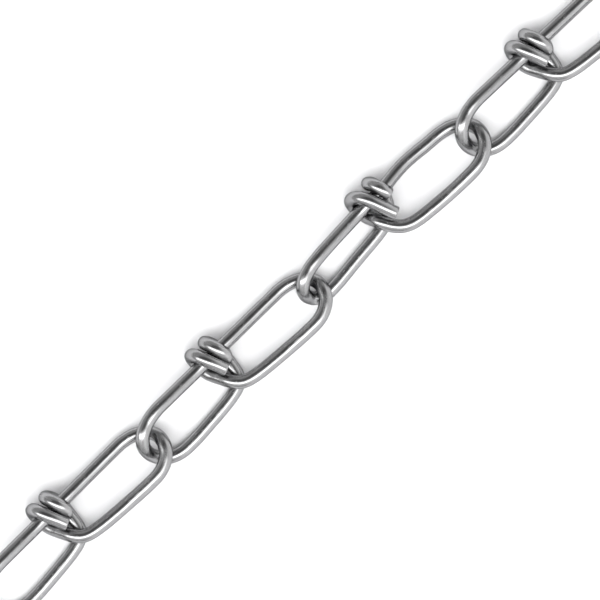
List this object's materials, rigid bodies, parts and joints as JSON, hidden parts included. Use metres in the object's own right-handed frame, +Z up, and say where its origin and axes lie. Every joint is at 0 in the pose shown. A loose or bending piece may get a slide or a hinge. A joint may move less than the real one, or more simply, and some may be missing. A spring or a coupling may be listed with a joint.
{
  "type": "double loop chain",
  "caption": "Length of double loop chain: bent steel wire links with a long and a short loop, each knotted at its middle and hooked through the next.",
  "frame": {"origin": "on the floor under the middle of the chain's box", "axes": "+X along the chain, from a link's short loop to its long loop; +Y towards the side of the knots; +Z up"},
  "size_m": [0.3088, 0.0224, 0.0117],
  "materials": {
    "steel_wire": "bright drawn wire, smooth and glossy"
  },
  "bodies": {
    "link_1_body": {"link_1": "steel_wire"},
    "link_2_body": {"link_2": "steel_wire"},
    "link_3_body": {"link_3": "steel_wire"},
    "link_4_body": {"link_4": "steel_wire"},
    "link_5_body": {"link_5": "steel_wire"}
  },
  "joints": [
    {"name": "hook_1_2", "type": "hinge", "parent": "link_1_body", "child": "link_2_body", "pos_m": [-0.09005, -0.00099, 0.004], "axis": [0, 0, 1], "range_deg": [-25, 25]},
    {"name": "hook_2_3", "type": "hinge", "parent": "link_2_body", "child": "link_3_body", "pos_m": [-0.03005, -0.00104, 0.004], "axis": [0, 0, 1], "range_deg": [-25, 25]},
    {"name": "hook_3_4", "type": "hinge", "parent": "link_3_body", "child": "link_4_body", "pos_m": [0.02995, -0.00144, 0.004], "axis": [0, 0, 1], "range_deg": [-25, 25]},
    {"name": "hook_4_5", "type": "hinge", "parent": "link_4_body", "child": "link_5_body", "pos_m": [0.08995, -0.00184, 0.004], "axis": [0, 0, 1], "range_deg": [-25, 25]}
  ]
}
